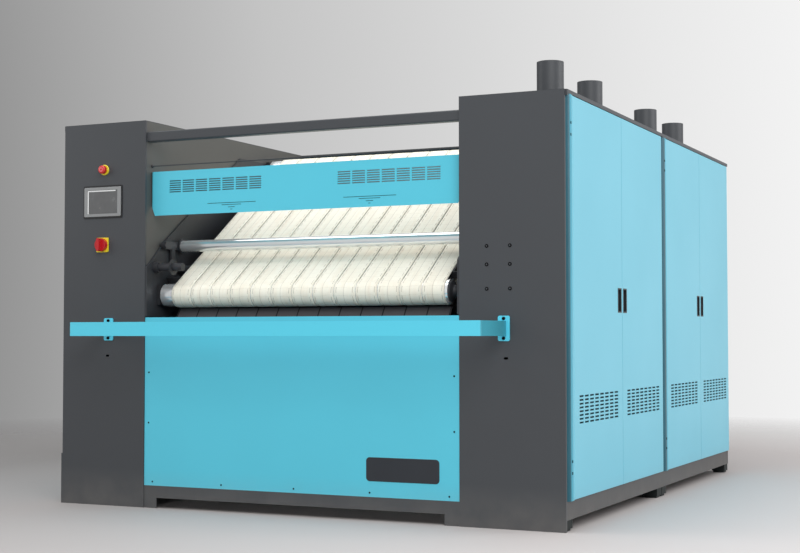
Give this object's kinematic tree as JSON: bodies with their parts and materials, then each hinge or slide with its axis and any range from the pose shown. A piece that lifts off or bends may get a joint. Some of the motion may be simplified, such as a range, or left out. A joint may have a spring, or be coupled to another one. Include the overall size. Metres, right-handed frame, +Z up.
{
  "type": "flatwork ironer",
  "caption": "Industrial flatwork ironer with a sloping belt feed, finger guard, heated chest rolls, louvred side doors, safety rail and roof exhaust pipes",
  "frame": {"origin": "on the floor, under the centre of the box that encloses the machine with its safety rail and exhaust pipes", "axes": "X runs across the machine to the right as seen from the feed side, Y from the feed side to the back, Z up"},
  "size_m": [3.105, 3.915, 2.38],
  "materials": {
    "column_paint": "satin powder coat, dark grey",
    "blue_paint": "satin powder coat, light blue",
    "pale_blue_paint": "satin powder coat, pale blue",
    "plinth_paint": "satin powder coat, grey",
    "dark_steel": "matt dark paint",
    "plain_steel": "plain steel",
    "motor_paint": "machine enamel",
    "chrome": "bright",
    "belt_felt": "woven needle felt",
    "roll_cloth": "woven cloth",
    "pull_plastic": "fine grain",
    "panel_plastic": "light grey frame",
    "yellow_plastic": "moulded",
    "red_plastic": "moulded"
  },
  "bodies": {
    "frame": {"left_column": "column_paint", "right_column": "column_paint", "back_columns": "column_paint", "roof_left": "column_paint", "roof_right": "column_paint", "rear_top_cover": "column_paint", "top_bar": "column_paint", "exhaust_pipes": "column_paint", "front_panel": "blue_paint", "hood": "blue_paint", "guard_rail": "blue_paint", "rear_panel": "blue_paint", "post_right_front": "pale_blue_paint", "post_right_rear": "pale_blue_paint", "post_left_front": "pale_blue_paint", "post_left_rear": "pale_blue_paint", "side_covers": "pale_blue_paint", "base_frame_front": "plinth_paint", "base_frame_rear": "plinth_paint", "levelling_feet": "plinth_paint", "skirt": "plinth_paint", "cheek_left": "dark_steel", "cheek_right": "dark_steel", "feed_bed": "dark_steel", "feed_bearings": "dark_steel", "side_plate_left": "dark_steel", "side_plate_right": "dark_steel", "transfer_slide": "dark_steel", "guard_shaft": "dark_steel", "chest_1": "plain_steel", "chest_2": "plain_steel", "hinge_pins": "plain_steel", "delivery_slide": "plain_steel", "heater": "plain_steel", "exhaust_fans": "plain_steel", "roll_bearings": "plain_steel", "drive_motors": "motor_paint", "burner": "motor_paint", "feed_belts": "belt_felt", "operator_panel": "panel_plastic", "stop_button_base": "yellow_plastic", "main_switch_plate": "yellow_plastic"},
    "side_door_1": {"door_1": "pale_blue_paint", "door_pull_1": "pull_plastic"},
    "side_door_2": {"door_2": "pale_blue_paint", "door_pull_2": "pull_plastic"},
    "side_door_3": {"door_3": "pale_blue_paint", "door_pull_3": "pull_plastic"},
    "side_door_4": {"door_4": "pale_blue_paint", "door_pull_4": "pull_plastic"},
    "stop_mushroom": {"stop_button": "red_plastic"},
    "switch_knob": {"main_switch_knob": "red_plastic"},
    "feed_front_roller": {"front_roller": "chrome"},
    "feed_top_roller": {"top_roller": "chrome"},
    "guard": {"guard_arms": "dark_steel"},
    "guard_tube": {"finger_tube": "chrome"},
    "ironing_roll_1": {"roll_1": "plain_steel", "padding_1": "roll_cloth"},
    "ironing_roll_2": {"roll_2": "plain_steel", "padding_2": "roll_cloth"}
  },
  "joints": [
    {"name": "door_1_hinge", "type": "hinge", "parent": "frame", "child": "side_door_1", "pos_m": [1.536, -1.5015, 1.165], "axis": [0, 0, -1], "range_deg": [0, 90]},
    {"name": "door_2_hinge", "type": "hinge", "parent": "frame", "child": "side_door_2", "pos_m": [1.536, 0.1545, 1.165], "axis": [0, 0, 1], "range_deg": [0, 90]},
    {"name": "door_3_hinge", "type": "hinge", "parent": "frame", "child": "side_door_3", "pos_m": [1.536, 0.2835, 1.165], "axis": [0, 0, -1], "range_deg": [0, 90]},
    {"name": "door_4_hinge", "type": "hinge", "parent": "frame", "child": "side_door_4", "pos_m": [1.536, 1.9255, 1.165], "axis": [0, 0, 1], "range_deg": [0, 90]},
    {"name": "stop_press", "type": "slide", "parent": "frame", "child": "stop_mushroom", "axis": [0, 1, 0], "range_m": [0, 0.006], "stiffness_N_per_m": 800, "springref_m": -0.002},
    {"name": "main_switch_turn", "type": "hinge", "parent": "frame", "child": "switch_knob", "pos_m": [-1.264, -1.6325, 1.494], "axis": [0, 1, 0], "range_deg": [0, 90]},
    {"name": "front_roller_spin", "type": "hinge", "parent": "frame", "child": "feed_front_roller", "pos_m": [0, -1.4545, 1.203], "axis": [-1, 0, 0], "continuous": true},
    {"name": "top_roller_spin", "type": "hinge", "parent": "frame", "child": "feed_top_roller", "pos_m": [0, -0.229, 2.045], "axis": [-1, 0, 0], "continuous": true},
    {"name": "guard_tilt", "type": "hinge", "parent": "frame", "child": "guard", "pos_m": [0, -1.46188, 1.49276], "axis": [1, 0, 0], "range_deg": [0, 20], "stiffness_Nm_per_rad": 60, "springref_deg": -11.46},
    {"name": "finger_tube_spin", "type": "hinge", "parent": "guard", "child": "guard_tube", "pos_m": [0, -1.28744, 1.49492], "axis": [-1, 0, 0], "continuous": true},
    {"name": "roll_1_spin", "type": "hinge", "parent": "frame", "child": "ironing_roll_1", "pos_m": [0, 0.3475, 1.7], "axis": [1, 0, 0], "continuous": true},
    {"name": "roll_2_spin", "type": "hinge", "parent": "frame", "child": "ironing_roll_2", "pos_m": [0, 1.3475, 1.7], "axis": [1, 0, 0], "continuous": true}
  ],
  "couplings": [
    {"joint": "front_roller_spin", "follows": "top_roller_spin", "ratio": 1},
    {"joint": "roll_2_spin", "follows": "roll_1_spin", "ratio": 1}
  ]
}
